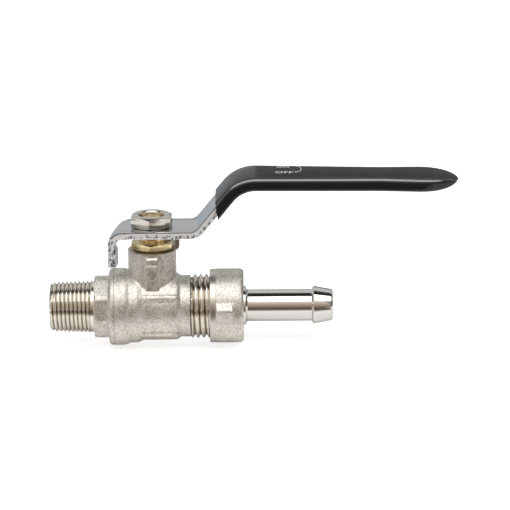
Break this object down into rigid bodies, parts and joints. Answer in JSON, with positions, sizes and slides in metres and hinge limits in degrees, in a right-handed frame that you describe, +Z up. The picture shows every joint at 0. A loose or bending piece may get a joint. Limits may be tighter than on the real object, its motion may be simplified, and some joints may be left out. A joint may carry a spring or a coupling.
{
  "type": "shut-off ball valve",
  "caption": "Shut-off ball valve with a cranked lever that turns a quarter turn to close, a male taper thread at its inlet and a barbed hose tail held by a union nut at its outlet.",
  "frame": {"origin": "middle of the inlet thread's end face, on the pipe axis", "axes": "+X along the pipe from the inlet to the hose tail's end, +Z up along the stem, -Y towards the side with the bare oval pad; the lever lies along +X, which is the open position"},
  "size_m": [0.1325, 0.0266, 0.0577],
  "materials": {
    "blasted_nickel": "sandblasted nickel plate on brass",
    "seat_plastic": "smooth white fluoroplastic",
    "bare_brass": "turned, bare",
    "bright_plate": "polished bright plate",
    "plated_lever": "bright plated pressed steel, sheared edges rough",
    "plated_nut": "bright plated steel",
    "black_vinyl": "glossy dipped vinyl with a white print",
    "gasket_rubber": "matte"
  },
  "bodies": {
    "housing": {"valve_body": "blasted_nickel", "end_connector": "blasted_nickel", "seat_ring_inlet": "seat_plastic", "seat_ring_outlet": "seat_plastic", "stem_thrust_washer": "seat_plastic", "packing_ring_lower": "seat_plastic", "packing_ring_middle": "seat_plastic", "packing_ring_upper": "seat_plastic", "gland_nut": "bare_brass", "union_gasket": "gasket_rubber"},
    "lever_assembly": {"stem": "bare_brass", "lever": "plated_lever", "lever_grip": "black_vinyl", "lever_nut": "plated_nut"},
    "ball": {"ball": "bright_plate"},
    "hose_tail": {"hose_tail": "bright_plate"},
    "union_nut": {"union_nut": "blasted_nickel"}
  },
  "joints": [
    {"name": "lever_turn", "type": "hinge", "parent": "housing", "child": "lever_assembly", "pos_m": [0.0334, 0, 0.0247], "axis": [0, 0, 1], "range_deg": [-90, 0]},
    {"name": "ball_turn", "type": "hinge", "parent": "housing", "child": "ball", "pos_m": [0.0334, 0, 0], "axis": [0, 0, 1], "range_deg": [-90, 0]},
    {"name": "hose_tail_slide", "type": "slide", "parent": "housing", "child": "hose_tail", "axis": [1, 0, 0], "range_m": [0, 0.00453]},
    {"name": "union_nut_turn", "type": "hinge", "parent": "hose_tail", "child": "union_nut", "pos_m": [0.0575, 0, 0], "axis": [1, 0, 0], "range_deg": [0, 900]}
  ],
  "couplings": [
    {"joint": "ball_turn", "follows": "lever_turn", "ratio": 1},
    {"joint": "union_nut_turn", "follows": "hose_tail_slide", "rad_per_m": 3463.7}
  ]
}
